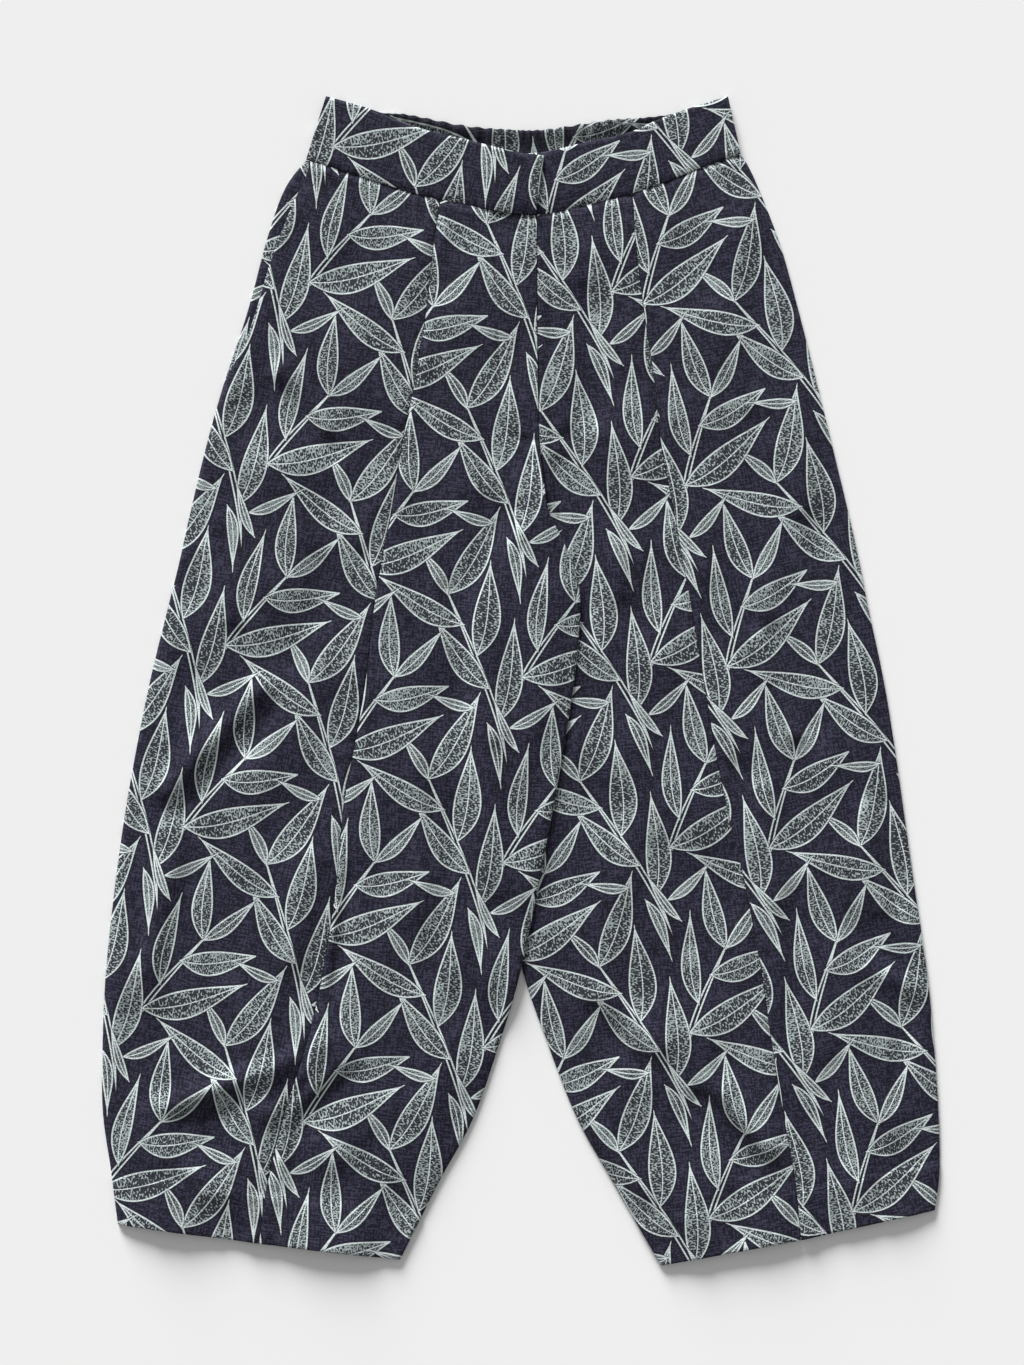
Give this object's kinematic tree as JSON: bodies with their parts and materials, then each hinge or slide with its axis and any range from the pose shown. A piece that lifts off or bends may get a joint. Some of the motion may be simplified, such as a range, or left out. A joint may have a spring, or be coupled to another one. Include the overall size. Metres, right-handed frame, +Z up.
{
  "type": "barrel leg pants",
  "caption": "Long pants with bowed barrel legs and an elasticated back waist, laid flat with the front up.",
  "frame": {"origin": "on the surface that the pants lie on, under the middle of their outline", "axes": "+Z up out of the front of the pants, +Y along the legs towards the waist, +X to the wearer's left"},
  "size_m": [0.7117, 0.993, 0.0133],
  "materials": {
    "printed_cloth": "navy plain-weave cotton with a pale grey-green leaf print, matt",
    "printed_cloth_inside": "inner face of the waistband, gathered, matt",
    "thread": "navy sewing thread"
  },
  "bodies": {
    "root": {"waistband_right": "printed_cloth", "waistband_left": "printed_cloth", "waistband_back": "printed_cloth_inside", "front_right_centre": "printed_cloth", "front_right_side": "printed_cloth", "front_left_centre": "printed_cloth", "front_left_side": "printed_cloth", "back_right": "printed_cloth", "back_left": "printed_cloth", "pocket_facing_right": "printed_cloth"}
  },
  "joints": []
}
